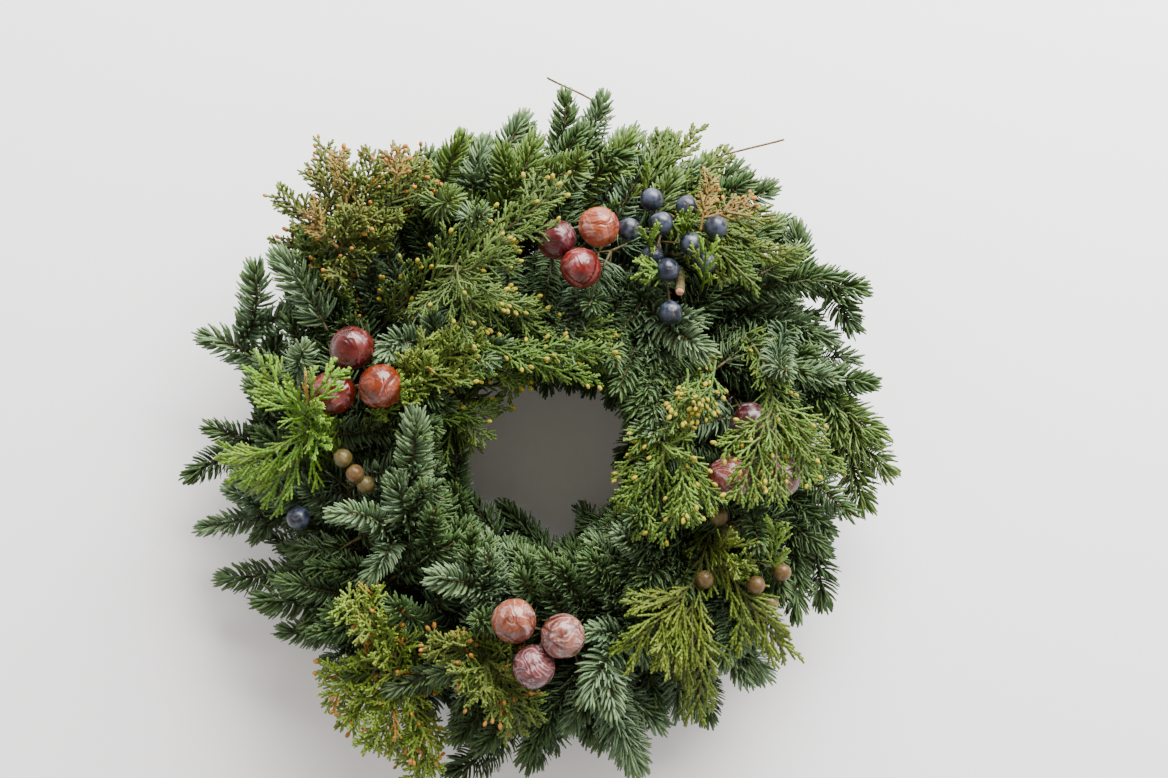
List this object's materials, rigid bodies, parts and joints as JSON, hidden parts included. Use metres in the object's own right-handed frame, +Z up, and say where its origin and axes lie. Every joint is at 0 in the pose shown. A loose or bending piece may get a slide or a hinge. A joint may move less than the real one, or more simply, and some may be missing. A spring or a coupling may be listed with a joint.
{
  "type": "fresh evergreen wreath",
  "caption": "Round fresh evergreen wreath of fir, cedar, cypress and juniper with red, blue and tan berries, wired to a ring and lying on its back.",
  "frame": {"origin": "on the surface that the wreath lies on, under the middle of its bounding box", "axes": "+Z up out of the wreath's front, +Y towards the wreath's top edge, where the wire ends are"},
  "size_m": [0.3696, 0.3666, 0.1025],
  "materials": {
    "ring": "satin dark green-brown",
    "wire": "dull brown florist's wire",
    "fir_frosted": "matte grey-green needles with a pale bloom",
    "fir_deep": "satin dark green needles",
    "fir_fresh": "satin fresh green needles",
    "cedar": "matte green scale leaves with yellow pollen cones",
    "juniper": "matte olive scale leaves with orange tips",
    "cypress": "matte yellow-green scale leaves",
    "berry_red": "waxy red-brown skin with pale streaks",
    "berry_blue": "matte blue skin with a pale bloom",
    "berry_tan": "matte tan to olive skin"
  },
  "bodies": {
    "root": {"ring_frame": "ring", "binding_wire": "wire", "red_berries_left": "berry_red", "red_berries_top": "berry_red", "red_berries_right": "berry_red", "red_berries_bottom": "berry_red", "blue_berries_top": "berry_blue", "blue_berry_left": "berry_blue", "tan_berries_left": "berry_tan", "tan_berries_inner_left": "berry_tan", "tan_berries_right": "berry_tan", "juniper_top_left": "juniper", "cedar_top": "cedar", "cedar_over_hole": "cedar", "cedar_hole_left": "cedar", "juniper_upright": "juniper", "cypress_left_fan": "cypress", "cypress_top_right": "cypress", "cedar_right_left": "cedar", "cedar_right_down": "cedar", "cypress_low_right": "cypress", "juniper_low_left": "juniper", "juniper_bottom": "juniper", "fir_left_fork": "fir_frosted", "fir_left_upright": "fir_deep", "fir_left_arc": "fir_deep", "fir_left_point": "fir_frosted", "fir_left_low": "fir_deep", "fir_low_left_upper": "fir_deep", "fir_low_left_lower": "fir_frosted", "fir_top_left_umbrella": "fir_fresh", "fir_top_left_tip": "fir_frosted", "fir_top_brush": "fir_fresh", "fir_top_fork": "fir_deep", "fir_top_olive": "fir_fresh", "fir_top_low": "fir_deep", "fir_right_fork": "fir_deep", "fir_right_shoulder": "fir_frosted", "fir_right_arm": "fir_deep", "fir_inner_top_fan": "fir_frosted", "fir_right_bough": "fir_fresh", "fir_right_column": "fir_deep", "fir_right_rosette": "fir_deep", "fir_low_right_comb": "fir_frosted", "fir_low_right_skirt": "fir_deep", "fir_bottom_plume": "fir_frosted", "fir_bottom_droop": "fir_deep", "fir_bottom_dotted": "fir_deep", "fir_inner_right_fan": "fir_deep", "fir_inner_bottom_comb": "fir_frosted", "fir_hole_bottom": "fir_deep", "fir_hole_left": "fir_deep", "fir_inner_left_arc": "fir_frosted", "fir_left_bud": "fir_frosted", "fir_low_left_rosette": "fir_deep", "fir_bottom_left_rosette": "fir_deep", "fir_inner_top_left": "fir_frosted", "fir_inner_right_rim": "fir_deep", "fir_hole_top": "fir_deep"}
  },
  "joints": []
}
